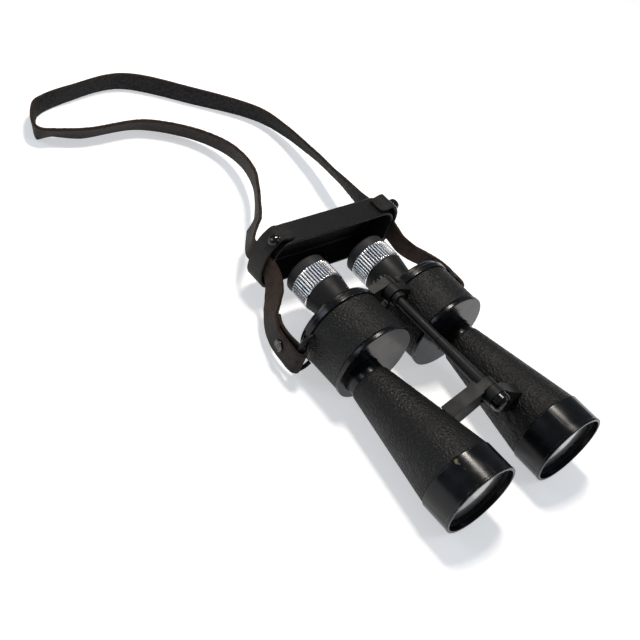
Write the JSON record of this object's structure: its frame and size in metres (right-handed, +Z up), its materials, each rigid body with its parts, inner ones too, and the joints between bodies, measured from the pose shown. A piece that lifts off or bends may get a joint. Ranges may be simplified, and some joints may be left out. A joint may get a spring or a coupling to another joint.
{
  "type": "binoculars",
  "caption": "Folding prism binoculars lying flat, with a leather neck strap and a rain guard threaded on the strap behind the eyepieces.",
  "frame": {"origin": "centre of the bounding box without the strap, on the surface that the binoculars lie on", "axes": "+Z up, +Y from the eyepieces to the objectives, +X from the hinge to the right barrel"},
  "size_m": [0.2075, 0.4497, 0.0625],
  "materials": {
    "black_enamel": "gloss black stoving enamel on metal, slightly worn at the edges",
    "satin_black": "satin black enamel on metal",
    "grain_leather": "black pebble-grained leather, wrinkled near its edges",
    "blackened_brass": "matt black lacquer inside the barrels",
    "coated_glass": "polished glass, thin coating",
    "prism_glass": "polished glass with ground sides",
    "spring_steel": "bright spring steel and rivets",
    "brass": "turned brass",
    "chrome": "bright fluted chrome",
    "eyecup_black": "matt dark eyecup",
    "guard_leather": "fine-grained black leather over a stiff shell",
    "tab_leather": "worn brown-black leather",
    "strap_leather": "dark brown rough leather with a smoother black outer face"
  },
  "bodies": {
    "right_barrel": {"right_objective_cell": "black_enamel", "right_lens_retaining_ring": "blackened_brass", "right_objective_crown_lens": "coated_glass", "right_objective_flint_lens": "coated_glass", "right_objective_tube": "black_enamel", "right_tube_leather": "grain_leather", "right_front_cover": "black_enamel", "right_prism_housing": "black_enamel", "right_housing_leather": "grain_leather", "right_rear_cover": "black_enamel", "right_prism_shelf": "blackened_brass", "right_rear_prism": "prism_glass", "right_front_prism": "prism_glass", "right_rear_prism_clamp": "spring_steel", "right_front_prism_clamp": "spring_steel", "right_strap_lug": "satin_black", "right_eyepiece_base": "satin_black", "right_front_arm": "satin_black", "right_rear_arm": "black_enamel", "hinge_axle": "satin_black", "hinge_sleeve": "satin_black", "hinge_end_nut": "black_enamel", "hinge_rear_cap": "black_enamel", "neck_strap": "strap_leather", "right_strap_rivet": "spring_steel"},
    "left_barrel": {"left_objective_cell": "black_enamel", "left_lens_retaining_ring": "blackened_brass", "left_objective_crown_lens": "coated_glass", "left_objective_flint_lens": "coated_glass", "left_objective_tube": "black_enamel", "left_tube_leather": "grain_leather", "left_front_cover": "black_enamel", "left_prism_housing": "black_enamel", "left_housing_leather": "grain_leather", "left_rear_cover": "black_enamel", "left_prism_shelf": "blackened_brass", "left_rear_prism": "prism_glass", "left_front_prism": "prism_glass", "left_rear_prism_clamp": "spring_steel", "left_front_prism_clamp": "spring_steel", "left_strap_lug": "satin_black", "left_eyepiece_base": "satin_black", "left_front_arm": "satin_black", "left_rear_arm": "black_enamel", "left_strap_rivet": "spring_steel"},
    "right_ocular": {"right_ocular_tube": "brass", "right_field_lens": "coated_glass", "right_eye_lens": "coated_glass"},
    "right_focus_ring": {"right_focus_ring": "chrome", "right_eyecup": "eyecup_black"},
    "left_ocular": {"left_ocular_tube": "brass", "left_field_lens": "coated_glass", "left_eye_lens": "coated_glass"},
    "left_focus_ring": {"left_focus_ring": "chrome", "left_eyecup": "eyecup_black"},
    "rain_guard": {"rain_guard": "guard_leather", "right_keeper_tab": "tab_leather", "left_keeper_tab": "tab_leather", "right_snap": "satin_black", "left_snap": "satin_black"}
  },
  "joints": [
    {"name": "hinge_fold", "type": "hinge", "parent": "right_barrel", "child": "left_barrel", "pos_m": [0.00235, 0.01494, 0.05329], "axis": [0, 0.9996, 0.0291], "range_deg": [-8, 50], "deforming": ["neck_strap"]},
    {"name": "right_focus_travel", "type": "slide", "parent": "right_barrel", "child": "right_ocular", "axis": [0, -0.9996, -0.0291], "range_m": [0, 0.004]},
    {"name": "right_focus_turn", "type": "hinge", "parent": "right_ocular", "child": "right_focus_ring", "pos_m": [0.03135, -0.06953, 0.03402], "axis": [0, -0.9996, -0.0291], "range_deg": [0, 180]},
    {"name": "left_focus_travel", "type": "slide", "parent": "left_barrel", "child": "left_ocular", "axis": [0, -0.9996, -0.0291], "range_m": [0, 0.004]},
    {"name": "left_focus_turn", "type": "hinge", "parent": "left_ocular", "child": "left_focus_ring", "pos_m": [-0.02665, -0.06953, 0.03402], "axis": [0, -0.9996, -0.0291], "range_deg": [0, 180]},
    {"name": "rain_guard_slide", "type": "slide", "parent": "right_barrel", "child": "rain_guard", "axis": [0, -0.9996, -0.0291], "range_m": [-0.003, 0.003], "deforming": ["neck_strap"]}
  ],
  "couplings": [
    {"joint": "right_focus_travel", "follows": "right_focus_turn", "m_per_rad": 0.00127},
    {"joint": "left_focus_travel", "follows": "left_focus_turn", "m_per_rad": 0.00127}
  ]
}
